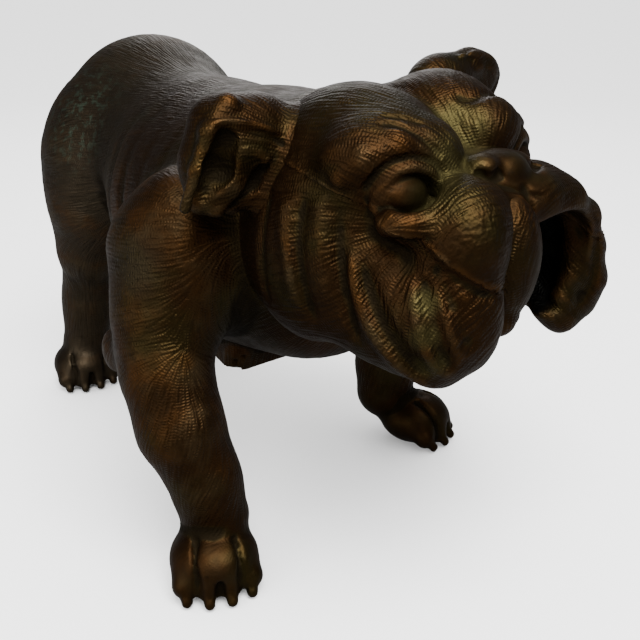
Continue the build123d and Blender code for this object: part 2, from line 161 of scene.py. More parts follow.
def sample(distance, low, high, cell):
    """Values of a distance function on a grid, worked out closely only near its surface."""
    count = np.ceil((np.array(high) - np.array(low)) / (cell * BLOCK)).astype(int)
    size = cell * BLOCK
    low = np.array(low, np.float32)
    centres = (low + (np.indices(count).reshape(3, -1).T + 0.5) * size).astype(np.float32)
    rough = distance(centres)
    reach = size * 0.87 * 1.15 + 3.0  # half a block's diagonal, and room for loose distances
    near = (np.abs(rough) < reach).reshape(count)
    grid = np.repeat(np.repeat(np.repeat(rough.reshape(count), BLOCK, 0), BLOCK, 1), BLOCK, 2)
    steps = np.indices((BLOCK,) * 3).reshape(3, -1).T * cell
    corners = low + np.argwhere(near) * size
    values = np.empty((len(corners), BLOCK ** 3), np.float32)
    for start in range(0, len(corners), BATCH):
        nodes = (corners[start:start + BATCH, None, :] + steps).reshape(-1, 3).astype(np.float32)
        values[start:start + BATCH] = distance(nodes).reshape(-1, BLOCK ** 3)
    blocks = grid.reshape(count[0], BLOCK, count[1], BLOCK, count[2], BLOCK).transpose(0, 2, 4, 1, 3, 5)
    blocks[near] = values.reshape(-1, BLOCK, BLOCK, BLOCK)
    return grid


CORNERS = [(x, y, z) for z in (0, 1) for y in (0, 1) for x in (0, 1)]
EDGES = [(a, b) for a in range(8) for b in range(a + 1, 8)
         if sum(abs(p - q) for p, q in zip(CORNERS[a], CORNERS[b])) == 1]


def surface_net(grid, low, cell):
    """Points and four-sided faces of the surface where the grid's values change sign."""
    mouth_shade = grid < 0
    nx, ny, nz = (n - 1 for n in grid.shape)
    full = np.zeros((nx, ny, nz), np.uint8)
    for x, y, z in CORNERS:
        full += mouth_shade[x:x + nx, y:y + ny, z:z + nz]
    active = (full > 0) & (full < 8)
    cells = np.argwhere(active)
    number = np.full(active.shape, -1, np.int64)
    number[active] = np.arange(len(cells))
    value = np.stack([grid[cells[:, 0] + x, cells[:, 1] + y, cells[:, 2] + z] for x, y, z in CORNERS], 1)
    total = np.zeros((len(cells), 3))
    crossings = np.zeros(len(cells))
    for a, b in EDGES:
        va, vb = value[:, a], value[:, b]
        cut = (va < 0) != (vb < 0)
        share = np.where(cut, va / np.where(cut, va - vb, 1), 0)
        place = np.array(CORNERS[a]) + share[:, None] * (np.array(CORNERS[b]) - np.array(CORNERS[a]))
        total += place * cut[:, None]
        crossings += cut
    points = np.array(low) + (cells + total / crossings[:, None]) * cell
    faces = []
    for axis in range(3):
        u, v = (axis + 1) % 3, (axis + 2) % 3
        first = [slice(1, n) for n in (nx, ny, nz)]
        second = list(first)
        first[axis] = slice(0, (nx, ny, nz)[axis])
        second[axis] = slice(1, (nx, ny, nz)[axis] + 1)
        before, after = mouth_shade[tuple(first)], mouth_shade[tuple(second)]
        spot = np.argwhere(before != after)
        offset = np.array([1, 1, 1])
        offset[axis] = 0
        leaving = before[tuple(spot.T)]
        spot = spot + offset
        ring = []
        for du, dv in ((1, 1), (0, 1), (0, 0), (1, 0)):
            cell_at = spot.copy()
            cell_at[:, u] -= du
            cell_at[:, v] -= dv
            ring.append(number[tuple(cell_at.T)])
        quads = np.stack(ring, 1)
        quads[~leaving] = quads[~leaving][:, ::-1]
        faces.append(quads)
    faces = np.vstack(faces)
    return points, faces[(faces >= 0).all(1)]


def slope(distance, points, step):
    """Direction in which the distance grows, by four evenly spread probes."""
    probes = np.array([[1, -1, -1], [-1, -1, 1], [-1, 1, -1], [1, 1, 1]], np.float32)
    return sum(p * distance((points + p * step).astype(np.float32))[:, None] for p in probes) / (4 * step)


def settle(distance, points, step, rounds=2):
    """Moves points on to the exact surface."""
    for _ in range(rounds):
        points = points.astype(np.float32)
        value = distance(points)
        grows = slope(distance, points, step)
        square = np.maximum((grows ** 2).sum(1), 0.25)
        move = np.clip(value / square, -2 * step, 2 * step)
        points = points - grows * move[:, None]
    return points


def split_faces(points, faces):
    """Each four-sided face becomes four."""
    edges = np.stack([faces, np.roll(faces, -1, 1)], 2).reshape(-1, 2)
    edges = np.sort(edges, 1)
    unique, where = np.unique(edges, axis=0, return_inverse=True)
    where = where.reshape(len(faces), 4)
    middles = points[unique].mean(1)
    centres = points[faces].mean(1)
    edge_start = len(points)
    face_start = edge_start + len(unique)
    points = np.vstack([points, middles, centres])
    side = where + edge_start
    hub = np.arange(len(faces)) + face_start
    quads = [np.stack([faces[:, i], side[:, i], hub, side[:, i - 1]], 1) for i in range(4)]
    return points, np.vstack(quads)


def sculpt(distance, low, high, cell, finer=0):
    """Mesh of a distance function inside a box: points on its surface and four-sided faces."""
    points, faces = surface_net(sample(distance, low, high, cell), low, cell)
    points = settle(distance, points, cell * 0.4)
    for _ in range(finer):
        cell = cell / 2
        points, faces = split_faces(points, faces)
        points = settle(distance, points, cell * 0.4)
    return points, faces


# ---- Head ------------
# Head coordinates: across to the dog's left, ahead of the neck, height above the ground.
NECK = vec(1, -57, 0)
YAW = math.radians(6.0)


def head_axes(points):
    """Frame points in head coordinates."""
    x, y = points[:, 0] - NECK[0], points[:, 1] - NECK[1]
    across = x * math.cos(YAW) + y * math.sin(YAW)
    ahead = x * math.sin(YAW) - y * math.cos(YAW)
    return np.stack([across, ahead, points[:, 2]], 1).astype(np.float32)


def from_head(points):
    """Head coordinates back in the frame."""
    p = np.asarray(points, np.float64)
    x = NECK[0] + p[..., 0] * math.cos(YAW) + p[..., 1] * math.sin(YAW)
    y = NECK[1] + p[..., 0] * math.sin(YAW) - p[..., 1] * math.cos(YAW)
    return np.stack([x, y, p[..., 2]], -1)


# Line of the seam between the two head castings: how far ahead, and its height there.
SEAM = [(-14, 125), (-1, 124), (20, 119.2), (31.5, 114), (40, 110.8), (45, 108), (53, 101.7),
        (57, 95.5), (66, 84)]
SEAM_LEAN = 0.85  # distance from the leaning seam for each millimetre above it


def seam_rise(head):
    """Distance of each head point above the seam."""
    line = smooth_path([(a, 0, h) for a, h in SEAM])
    return SEAM_LEAN * (head[:, 2] - np.interp(head[:, 1], line[:, 0], line[:, 2]))


SKULL = [
    ((0, 6, 106), (37, 30, 31), 1),
    ((-29, 8, 98), (14.5, 21, 23), 9),  # right cheek
    ((29, 8, 98), (14.5, 21, 23), 9),
    ((0, 32, 98), (29, 20, 20), 10),  # root of the muzzle
    ((0, 24, 82), (22, 24, 10), 8),  # throat and lower jaw
]
DOMES = [
    ((-16, 11, 118), (20.5, 27, 23), 1),
    ((14.5, 12, 119.5), (19, 22.5, 22.5), 4),
]
BROWS = [
    ((-24, 25, 125), (15, 10, 10), 5, (0, 0, 25)),  # brow over the eye
    ((-13.5, 31.5, 124), (8, 8, 9), 4),  # heavy inner brow
    ((14.5, 27.5, 127), (10.5, 9, 9.5), 3),
    ((24.5, 24, 124), (9, 9, 9), 3),
]
MUZZLE = [
    ((-18, 44.5, 106.5), (11.5, 12.5, 13), 4),  # round cushions of the upper lip
    ((-14.5, 44.5, 113), (10, 9, 9), 5),
    ((15, 42, 109), (13, 12, 12.5), 4),
    ((-28, 37.5, 112.6), (8.3, 6.3, 4.8), 4, (0, 0, 20)),  # pads under the eyes
    ((27.5, 35.5, 112.8), (8, 6, 4.6), 4, (0, 0, -20)),
    ((0, 37, 113), (14, 11, 9), 5),  # bridge below the nose
    ((3, 43, 115.5), (11, 7.5, 6), 4),
]
NOSE = [
    ((0.5, 41, 121.3), (10, 6.2, 4.8), 3),
    ((-7.5, 42.3, 122.3), (4.6, 4.5, 3.9), 1.2),
    ((8, 42, 121), (3.8, 3.8, 3.4), 1.5),
    ((0.5, 45, 121.2), (4.6, 3.4, 3.6), 2.5),
]
RIGHT_FLEW = [
    ((-29, 28, 90), (9, 14, 15), 6),
    ((-24, 44.5, 87.5), (9.5, 10.5, 16), 5),
    ((-17.5, 48.5, 90), (7.5, 8.5, 15), 4),
    ((-28, 37, 86), (8, 10, 11.5), 5),
]
# Lips of the open left side, as chains: (across, ahead, height), radius
LEFT_LIP = [((-1, 46, 112), 6), ((9, 48, 113.5), 5), ((19.5, 50, 111.5), 4.3), ((28.5, 50.5, 105.5), 4),
            ((34.5, 50, 96), 4), ((37.5, 50, 86), 4.2), ((38, 47.5, 78.5), 4), ((31, 46.5, 75), 3.4),
            ((23, 44, 79.5), 2.4)]
LEFT_FLEW = [((33, 30, 90), 9), ((33, 32, 102), 9), ((35, 38.5, 101), 8), ((37.5, 41.5, 92), 7.5),
             ((37.5, 42, 82), 6.5), ((31, 36, 82), 6)]
LIP_CORNER = ((32.5, 43.5, 79), (8.5, 6, 5.5))
INNER_LIP = [((28.5, 47, 104), 1.6), ((31, 48, 97), 2.2), ((31.5, 48.5, 89), 2.8), ((29, 47.5, 82), 3)]

EYES = [(-25.3, 31.3, 117.7), (24, 28.5, 118.4)]
EYE_RADIUS = 6.4
SOCKET = (6.8, 3.4, 4.8)
SOCKET_AHEAD = 6  # the socket's middle in front of the eye's
UPPER_LID = [(-33, 29, 116.5), (-31, 32.6, 121.6), (-26.2, 35.5, 124.4), (-20.9, 37.2, 123),
             (-17.3, 37.1, 119.2), (-16.6, 37, 116)]
LOWER_LID = [(-33, 29, 116.5), (-30.9, 33.3, 114.8), (-26.6, 36.3, 113.8), (-21, 37, 114), (-16.6, 37, 116)]
UPPER_FOLD = [(-34.5, 28, 119), (-32, 32, 125), (-26.9, 35.4, 127.2), (-20.9, 37.7, 125.7), (-16, 38.5, 120)]
BROW_RIDGE = [((-36, 23.5, 122), 2), ((-33, 28, 126.5), 2.8), ((-26.5, 31.5, 129), 3), ((-19, 33, 128), 3.2),
              ((-13.5, 35, 122), 3.5)]

# Creases: path, width, depth (negative raises a ridge)
HEAD_CREASES = [
    # middle of the forehead, and the frown
    ([(0, -22, 137), (0, -6, 140), (0, 8, 141), (0, 19, 136), (0, 24, 129), (0, 27.5, 121),
      (0, 31, 115)], 3.6, 1.6),
    ([(-28.5, 27, 133.5), (-25.4, 31.5, 133.5), (-23, 34.5, 131.8), (-20.5, 37, 129),
      (-18, 38, 126)], 0.9, 1.2),
    ([(-27, 27, 136.5), (-22.5, 31, 135.8), (-19, 34, 133.8)], 0.7, 0.7),
    ([(6, 22, 137), (10, 26, 134.5), (14, 27, 135.5), (22, 26, 134)], 1.6, 1.2),
    # on the right eye's pad
    ([(-33.5, 33.5, 113.6), (-30, 38.5, 112.6), (-26, 40.5, 113), (-22, 41, 114)], 0.7, 0.5),
    ([(-35, 32.9, 112), (-33, 38.3, 110.8), (-30, 42, 110), (-27, 44.5, 110.5)], 0.8, 0.5),
    # groove under the seam and the valleys of the flew
    ([(-34.5, 34, 109), (-32.5, 41, 107.5), (-29, 47.5, 104), (-24, 52.5, 99.5), (-16, 55, 95)], 1.5, 1.2),
    ([(-31.5, 44, 102), (-32.2, 48.4, 94), (-31.6, 50.8, 86.8), (-28.5, 51.7, 79)], 1.8, 2.4),
    ([(-29.5, 48.5, 103), (-28.7, 51.2, 97.2), (-27.5, 53.9, 90.4), (-24.5, 54.9, 84)], 2.2, 1.3),
    ([(-30.5, 45.5, 104.5), (-30, 49.5, 99.5), (-28.5, 52.5, 94)], 1.3, 2.2),
    ([(-36.5, 30, 104), (-37, 36.5, 92), (-35.5, 42.5, 84), (-31, 47, 77)], 2.2, 1.9),
    # ridges of the flew
    ([(-36.7, 25, 108), (-37.7, 32, 92), (-36.5, 38.2, 83.2), (-32.3, 43.6, 77),
      (-26.8, 48, 73.1)], 1.8, -1.5),
    ([(-31.5, 41, 102), (-34.2, 45, 92), (-32.6, 48.3, 84), (-27.2, 51, 77)], 1.6, -0.8),
    # left lip, between its band and its thin inner edge
    ([(22, 55, 110), (29, 54.5, 103.5), (32.5, 53.5, 95), (34, 53, 86), (32, 51, 79)], 1.2, 1.0),
    # under the nose and between the cushions
    ([(0, 47.5, 117), (0, 50, 114), (-1, 53, 109)], 1.1, 1.5),
    ([(-15, 46, 121), (-9, 47.5, 119.5), (-4, 49, 117.8), (0.5, 50.2, 116), (6, 50.5, 114.5)], 0.7, 0.9),
]
CHEEK_FOLDS = [  # on both sides
    ([(-40.2, 8.5, 117), (-42.3, 10.3, 108.1), (-43.2, 12.5, 100.6), (-42, 14, 88)], 2.4, -1.0),
    ([(-37.7, 18.6, 118), (-39.1, 19.4, 110.5), (-39.9, 20.8, 104.8), (-39, 22, 90)], 2.2, -1.0),
    ([(-40, 14, 118), (-42, 14.8, 107), (-42, 16.5, 96), (-39.5, 18, 84)], 1.7, 1.3),
    ([(-38, 24, 115), (-39, 26, 104), (-38.5, 28, 92), (-36, 31, 82)], 1.7, 1.3),
    ([(-39, 2, 117), (-42, 2.5, 107), (-42, 3, 96), (-39.5, 3, 86)], 1.5, 0.9),
]
NOSTRILS = [[(-5, 46.5, 122.5), (-7.4, 46, 121.8), (-9.8, 45.4, 120.6), (-11.8, 43.6, 120.8)],
            [(5.4, 46.8, 121), (7.8, 46.6, 120), (10.2, 46, 119), (12, 44.4, 119.4)]]
MOUTH_HOLLOW = [
    ((2, 27, 98), (25, 26, 20), 1),
    ((14, 50, 98), (15.5, 20, 12.5), 3),  # gap on the left of the chin
    ((19, 46, 87), (12.5, 17, 9.5), 3),
    ((0, 6, 102), (27, 12, 20.5), 4),  # way into the neck
]
CHIN = [
    ((-4, 48.5, 101.5), (9.3, 8.8, 15.5), 1),
    ((-3, 44, 92), (8.5, 9, 10), 4),
    ((-5, 48.5, 85.5), (4.5, 5, 5), 2),
]


def head_base(head):
    """The outside of the head before its folds and creases."""
    d = blend_forms(head, SKULL)
    domes = blend_forms(head, DOMES)
    d = blend_min(d, domes, 6)
    d = blend_forms(head, BROWS, d)
    d = blend_min(d, chain(head, BROW_RIDGE, 2), 2.5)
    d = blend_forms(head, MUZZLE, d)
    d = blend_forms(head, RIGHT_FLEW, d)
    d = blend_min(d, chain(head, LEFT_FLEW), 6)
    d = blend_min(d, chain(head, LEFT_LIP, 6), 4)
    d = blend_min(d, ellipsoid(head, *LIP_CORNER), 4)
    for across, ahead, height in EYES:
        d = blend_max(d, -ellipsoid(head, (across, ahead + SOCKET_AHEAD, height), SOCKET), 3)
        ball = ellipsoid(head, (across, ahead, height), (EYE_RADIUS + 1.6, EYE_RADIUS, EYE_RADIUS - 0.2))
        d = blend_min(d, ball, 0.3)
    return blend_forms(head, NOSE, d)


def on_surface(distance, places):
    """The places moved to the nearest surface."""
    return settle(distance, np.array(places, np.float32), 0.4, 12)


def laid_creases():
    """Every fold and crease of the head, its path laid on the surface: path, width, depth, fade."""
    flip = vec(-1, 1, 1)
    shift = np.array(EYES[1]) - np.array(EYES[0]) * flip
    short, long = 0.1, 0.15
    lines = []
    for path, width, depth in ((UPPER_LID, 1.1, -2.0), (LOWER_LID, 0.9, -1.3), (UPPER_FOLD, 0.8, 0.9)):
        lines.append((path, width, depth, short))
        lines.append((np.array(path) * flip + shift, width, depth, short))
    lines += [(path, width, depth, long) for path, width, depth in HEAD_CREASES + CHEEK_FOLDS]
    lines += [(np.array(path) * flip, width, depth, long) for path, width, depth in CHEEK_FOLDS]
    lines += [(path, 1.2, 2.6, short) for path in NOSTRILS]
    return [(on_surface(head_base, path), width, depth, fade) for path, width, depth, fade in lines]


HEAD_LINES = laid_creases()


def head_form(head):
    """The outside of the head before it is hollowed."""
    d = head_base(head)
    for path, width, depth, fade in HEAD_LINES:
        d = crease(d, head, path, width, depth, fade)
    return d


def head_distance(head):
    """The head with its mouth and inner hollow."""
    d = head_form(head)
    hollow = blend_forms(head, MOUTH_HOLLOW)
    d = blend_max(d, -hollow, 2.0)
    return blend_min(d, chain(head, INNER_LIP, 4), 2.5)


def chin_distance(head):
    """The rounded chin between the lips."""
    d = blend_forms(head, CHIN)
    for across in (-12, -8.5, -5, -1.5, 2, 5.5):  # hair lines below the lip
        path = [(across * 0.5, 51, 116), (across * 0.8, 55, 112.5), (across, 56.5, 107)]
        d = crease(d, head, path, 0.6, 0.15)
    return d


# ---- Ears ------------
def right_ear_distance(head):
    """A thick folded ear: a cup open to the front, a thin rim outside and a lobe inside."""
    d = ellipsoid(head, (-37, -8, 128), (15, 10, 10.8))
    back = [((-46, -9, 131), 7.5), ((-48.5, -9.5, 122), 7.5), ((-51.5, -9.5, 114.5), 4.5)]
    d = blend_min(d, chain(head, back, 3), 4)
    rim = [((-46, -5, 136.5), 3), ((-52.5, -4.5, 131), 2), ((-56, -5, 122.5), 1.7),
           ((-59, -6.5, 113.5), 1.4)]
    d = blend_min(d, chain(head, rim, 2), 1.5)
    root = [((-36, -6, 124), 6.5), ((-40, -7, 116), 5), ((-44, -8, 112), 3)]
    d = blend_min(d, chain(head, root, 3), 3)
    lobe = [((-42.5, -5, 125), 3.4), ((-46, -5, 118), 3.4), ((-50, -6, 112), 2.4)]
    d = blend_min(d, chain(head, lobe, 3), 2)
    hollow = [((-49.8, -0.5, 129), 3.2), ((-51.6, -2.8, 122), 4), ((-55, -4.2, 115.5), 2.6)]
    d = blend_max(d, -chain(head, hollow, 2), 0.8)
    slot = [((-39.2, 0.5, 121.5), 1.8), ((-41.5, -0.5, 117.5), 2), ((-46, -2.5, 111.5), 1.6)]
    d = blend_max(d, -chain(head, slot, 2), 0.8)
    d = crease(d, head, [(-46.5, 0, 127), (-42, 1, 125.4), (-38.5, 1.5, 122.8)], 1.3, -1.2)
    d = crease(d, head, [(-53.5, -3, 131), (-51.5, -2, 133.5), (-46, 0, 133.3), (-40, 1.5, 131.5),
                         (-35, 2.5, 129)], 0.9, -0.7)
    return crease(d, head, [(-50, -1, 131.5), (-45, 1, 130.6), (-38, 2.5, 128.6), (-33, 3, 125)], 0.7, 0.8)


def left_ear_distance(head):
    """The left ear, spread out sideways and cupped forward."""
    d = ellipsoid(head, (41, -8, 132), (14, 9, 11.5))
    d = blend_min(d, ellipsoid(head, (57, -8.5, 134.5), (13, 4.6, 9), (0, 12, 0)), 5)
    d = blend_min(d, chain(head, [((56, -8, 138.5), 4.5), ((63, -8, 137), 3.6), ((69, -8, 135), 2)]), 4)
    d = blend_max(d, -ellipsoid(head, (58, -0.5, 132.5), (9, 4, 5), (0, 12, 0)), 2)
    d = crease(d, head, [(44, -3, 143), (52, -4, 143), (60, -5, 141), (68, -6.5, 137.5), (69, -6.5, 131),
                         (66, -6, 127)], 1.3, -1.3, 0.05)
    return crease(d, head, [(50, -1, 143), (52, -1, 136), (55, -3, 128)], 1.3, 1.2)


# ---- Body ------------
TRUNK = [
    ((1, -18, 92), (47, 37, 41.5), 1),  # chest
    ((2, 12, 93), (44, 42, 38), 14),
    ((6, 42, 101), (35, 40, 31), 14),  # loin
    ((10, 82, 107), (37, 34, 37), 16),  # hips
    ((1, -46, 100), (37, 24, 37), 12),  # neck
    ((0, -38, 72), (26, 19, 18), 10),  # brisket
]
# Legs: joints from the top to the ankle with their radii, the paw's middle, and how far it turns out
HIND_RIGHT_LEG = ([((-16, 84, 98), 18), ((-19.5, 83, 80), 14.5), ((-21, 87, 62), 11.5), ((-20, 94, 44), 9),
                   ((-20.5, 96, 34), 8.8), ((-22.5, 97, 18), 10)], (-25, 97, 8.5), -12)
HIND_LINE_X = 10  # the hind legs mirror each other about this line


def mirrored(leg, line_x):
    """The same leg on the other side of a line along the dog."""
    joints, (x, y, z), turn = leg
    across = 2 * line_x
    return [((across - a, b, c), radius) for (a, b, c), radius in joints], (across - x, y, z), -turn


LEGS = {
    "front_right_leg": ([((-46, -22, 92), 16), ((-51.5, -29, 76), 13), ((-55, -35, 61), 11.6),
                         ((-55.5, -42, 46), 11), ((-51.8, -47, 31), 8.9), ((-50, -48.5, 18), 10.2)],
                        (-53.5, -52.5, 8.5), -25),
    "front_left_leg": ([((50, -20, 92), 17), ((54, -20, 76), 13.5), ((55, -20, 61), 12),
                        ((52, -20, 46), 11.2), ((46, -20, 31), 10), ((45, -20.5, 18), 10.6)],
                       (51.5, -29.5, 8.5), 25),
    "hind_right_leg": HIND_RIGHT_LEG,
    "hind_left_leg": mirrored(HIND_RIGHT_LEG, HIND_LINE_X),
}
PAW = (12.8, 13.5, 9.5)
PAW_FRONT = 10.8  # from the paw's middle to the line of the toes
TOES = [(-9.3, -2.4), (-3.2, 0), (3.2, 0), (9.3, -2.4)]  # across, and behind the paw's front
TAIL = [((9, 102, 126), 8), ((9.5, 113, 121.5), 6.5), ((10.5, 119.5, 112.5), 5), ((11.5, 121.5, 101), 3.4)]
MUSCLES = [
    ((-44.5, -28, 90), (15.5, 19, 26), 10),  # shoulders
    ((48, -24, 90), (17, 19, 26), 10),
    ((-18, 86, 92), (17, 24, 32), 10),  # thighs
    ((38, 86, 92), (17, 24, 32), 10),
]
KNOBS = [
    ((-58.5, -23, 63), (4.5, 7, 9), 6),  # points of the elbows
    ((-60.5, -14.5, 62), (3.2, 6, 7), 2.5, (20, 0, 0)), # tuft behind the elbow
    ((59, -11, 62), (4.5, 7, 9), 6),
    ((-20.5, 103, 40), (6, 6, 8), 4),  # hocks
    ((40.5, 103, 40), (6, 6, 8), 4),
]
BODY_CREASES = [
    ([(-19, 30, 130), (-31, 30, 118), (-38, 28, 102), (-40, 24, 86)], 2.4, 1.2),
    ([(-17, 18, 131), (-32, 17, 121), (-41, 14, 106), (-44, 10, 88)], 2.2, 1.4),
    ([(-17, 6, 131), (-32, 4, 123), (-43, 1, 108), (-47, -3, 92)], 2.2, 1.3),
    ([(-19, -8, 131), (-33, -9, 123), (-43, -10, 112)], 2.0, 1.0),
    ([(-20, 44, 130), (-29, 46, 117), (-32, 46, 102)], 2.6, 0.9),
]


def paw_axes(points, middle, turn):
    """Coordinates of a paw: across it, ahead of its middle, height."""
    angle = math.radians(turn)
    x, y = points[:, 0] - middle[0], points[:, 1] - middle[1]
    across = x * math.cos(angle) + y * math.sin(angle)
    ahead = x * math.sin(angle) - y * math.cos(angle)
    return np.stack([across, ahead, points[:, 2]], 1).astype(np.float32)


def paw_distance(points, middle, turn):
    paw = paw_axes(points, middle, turn)
    d = ellipsoid(paw, (0, 1, middle[2]), PAW)
    for across, behind in TOES:
        tip = PAW_FRONT + behind
        d = blend_min(d, limb(paw, (across * 0.85, tip - 6, 9.3), (across, tip, 5), 4.2, 3.8), 1.8)
    for across, behind in TOES:  # claws
        tip = PAW_FRONT + behind
        d = blend_min(d, limb(paw, (across, tip + 1.5, 4.6), (across, tip + 3.8, 1.9), 1.9, 1.6), 0.8)
    for (left, _), (right, _) in zip(TOES, TOES[1:]):  # grooves between the toes
        across = (left + right) / 2
        groove = [(across * 0.7, PAW_FRONT - 9, 17), (across * 0.9, PAW_FRONT - 3, 13.5),
                  (across, PAW_FRONT + 2, 8), (across, PAW_FRONT + 3, 3)]
        d = crease(d, paw, groove, 1.3, 1.8, 0.1)
    return np.maximum(d, -points[:, 2])


def trunk_distance(points):
    return blend_forms(points, TRUNK)


def leg_distance(points, name):
    joints, middle, turn = LEGS[name]
    return blend_min(chain(points, joints, 8), paw_distance(points, middle, turn), 3)


def body_distance(points):
    """Trunk, legs and tail as one skin."""
    d = trunk_distance(points)
    d = blend_forms(points, MUSCLES, d)
    for name in LEGS:
        d = blend_min(d, leg_distance(points, name), 7)
    d = blend_forms(points, KNOBS, d)
    d = blend_min(d, chain(points, TAIL, 3), 5)
    for path, width, depth in BODY_CREASES:
        d = crease(d, points, path, width, depth)
    return np.maximum(d, -points[:, 2])


# ---- Joints between castings ------------
def joined(part, base, radius):
    """The part with a fillet that runs on to the base and then sinks below its surface."""
    d = blend_min(part, base, radius)
    d = d + 0.5 * np.clip((part - 0.35 * radius) / (0.5 * radius), 0, 1)
    d = np.maximum(d, -(base + 1.0))
    return np.maximum(d, part - radius)


WALL = 3.0
NECK_Y = -57.1  # front face of the body casting, behind the head
NECK_FOOT = 48  # height down to which the body is cut off flat there
SEAM_LAP = 0.8  # the lower head casting runs on above the seam, under the upper one's raised rim


def head_casting(points):
    head = head_axes(points)
    return joined(head_distance(head), trunk_distance(points), 6)


def upper_head(points):
    rise = seam_rise(head_axes(points))
    d = head_casting(points) - 0.35 * np.exp(-(rise / 0.9) ** 2)
    return np.maximum(d, -rise)


def jowl(points):
    rise = seam_rise(head_axes(points))
    d = head_casting(points) + 0.1 * np.exp(-(rise / 0.9) ** 2)
    return np.maximum(d, rise - SEAM_LAP)


def chin(points):
    return chin_distance(head_axes(points))


def right_ear(points):
    head = head_axes(points)
    return joined(right_ear_distance(head), head_form(head), 5)


def left_ear(points):
    head = head_axes(points)
    return joined(left_ear_distance(head), head_form(head), 5)


# ---- Coin door frame ------------
BELLY = vec(3, 15, 54)  # middle of the door's outer face
BELLY_RISE = math.radians(18.0)
PAD = (50.0, 68.0, 6.0, 14.0)  # width, length, corner, and how far it reaches inside
SOCKET_CUT = (46.0, 64.0, 4.0)  # hole in the sculpted skin that the door frame fills
RECESS = (34.6, 48.6, 3.0, 2.5)  # where the door lies
OPENING = (27.0, 40.0, 4.0)
FLOOR = 5.5  # thickness of the frame
HINGE_Y = 25.6  # hinge line, from the middle of the door
HINGE_RADIUS = 2.6
KNUCKLE_HALF = 7.4
HINGE_HALF = 14.0
THROAT_RADIUS = 24.0
THROAT_HEIGHT = 98.0


def belly_axes(points):
    """Coordinates in the door's plane: across, towards the tail, into the body."""
    p = points - BELLY
    c, s = math.cos(BELLY_RISE), math.sin(BELLY_RISE)
    return np.stack([p[:, 0], p[:, 1] * c + p[:, 2] * s, p[:, 2] * c - p[:, 1] * s], 1).astype(np.float32)


def from_belly(points):
    c, s = math.cos(BELLY_RISE), math.sin(BELLY_RISE)
    p = np.asarray(points, np.float64)
    return np.stack([p[:, 0], p[:, 1] * c - p[:, 2] * s, p[:, 1] * s + p[:, 2] * c], 1) + BELLY


def slab(p, width, length, corner, low, high):
    """A plate with rounded corners, between two levels."""
    x = np.abs(p[:, 0]) - width / 2 + corner
    y = np.abs(p[:, 1]) - length / 2 + corner
    outline = np.hypot(np.maximum(x, 0), np.maximum(y, 0)) + np.minimum(np.maximum(x, y), 0) - corner
    level = np.maximum(low - p[:, 2], p[:, 2] - high)
    return np.maximum(outline, level)


def rod_across(p, y, z, radius, start, end):
    round_part = np.hypot(p[:, 1] - y, p[:, 2] - z) - radius
    return np.maximum(round_part, np.maximum(start - p[:, 0], p[:, 0] - end))


def door_frame(p):
    """The cast frame that the coin door closes on, in the door's coordinates."""
    d = slab(p, *SOCKET_CUT, 0, FLOOR)
    d = np.maximum(d, -slab(p, *RECESS[:3], -5, RECESS[3]))
    d = np.maximum(d, -slab(p, *OPENING, -5, FLOOR + 5))
    for side in (-1, 1):
        ends = sorted((side * KNUCKLE_HALF, side * HINGE_HALF))
        d = np.minimum(d, rod_across(p, HINGE_Y, 0, HINGE_RADIUS, *ends))
    d = np.maximum(d, -rod_across(p, HINGE_Y, 0, HINGE_RADIUS + 0.3, -KNUCKLE_HALF, KNUCKLE_HALF))
    return np.maximum(d, -rod_across(p, HINGE_Y, 0, 1.05, -HINGE_HALF + 0.4, SOCKET_CUT[0]))


def off_throat(points):
    """Distance from the throat's axis."""
    return np.hypot(points[:, 0] - NECK[0], points[:, 2] - THROAT_HEIGHT)


def body_casting(points):
    """The body's outside, with the pad around the coin door and the front face behind the head."""
    belly = belly_axes(points)
    d = blend_min(body_distance(points), slab(belly, *PAD[:3], 0, PAD[3]), 1.5)
    d = np.maximum(d, -slab(belly, *SOCKET_CUT, -20, FLOOR + 3))
    throat = off_throat(points) - THROAT_RADIUS
    d = np.maximum(d, -np.maximum(throat, points[:, 1] + 50))
    return np.maximum(d, np.minimum(NECK_Y - points[:, 1], points[:, 2] - NECK_FOOT))


def money_chamber(points):
    """The hollow inside the body casting."""
    belly = belly_axes(points)
    pad = slab(belly, *PAD[:3], -20, PAD[3])
    d = np.maximum(trunk_distance(points) + WALL, -pad)
    d = np.maximum(d, NECK_Y + WALL - points[:, 1])
    d = np.minimum(d, slab(belly, *SOCKET_CUT, -2, PAD[3] + 4))
    throat = off_throat(points) - THROAT_RADIUS
    return np.minimum(d, np.maximum(throat, np.maximum(NECK_Y - 2 - points[:, 1], points[:, 1] + 45)))


# ---- Surface ------------
HASH_PRIMES = (73856093, 19349663, 83492791, 2654435761, 1274126177)


def grain(points, pitch, seed=0):
    """Smooth random values between -1 and 1, about one bump to each pitch."""
    p = points / pitch
    base = np.floor(p).astype(np.int64)
    share = (p - base).astype(np.float32)
    share = share * share * (3 - 2 * share)
    total = np.zeros(len(points), np.float32)
    for corner in CORNERS:
        cell = base + np.array(corner)
        mixed = seed * HASH_PRIMES[3]
        for axis in range(3):
            mixed = mixed ^ (cell[:, axis] * HASH_PRIMES[axis])
        mixed = (mixed ^ (mixed >> 13)) * HASH_PRIMES[4]
        value = ((mixed ^ (mixed >> 16)) & 0xFFFF) / 32767.5 - 1
        weight = np.ones(len(points), np.float32)
        for axis in range(3):
            weight *= share[:, axis] if corner[axis] else 1 - share[:, axis]
        total += weight * value
    return total


def unit(vectors):
    return vectors / (np.linalg.norm(vectors, axis=1)[:, None] + 1e-9)


MUZZLE_TIP = (0, 44, 112)
CUSHION = (-22, 53, 108)  # the smooth round of the upper lip
BARE = [((0, 42, 120), 13), (EYES[0], 8.5), (EYES[1], 8.5), ((6, 56, 100), 13), (CUSHION, 9)]


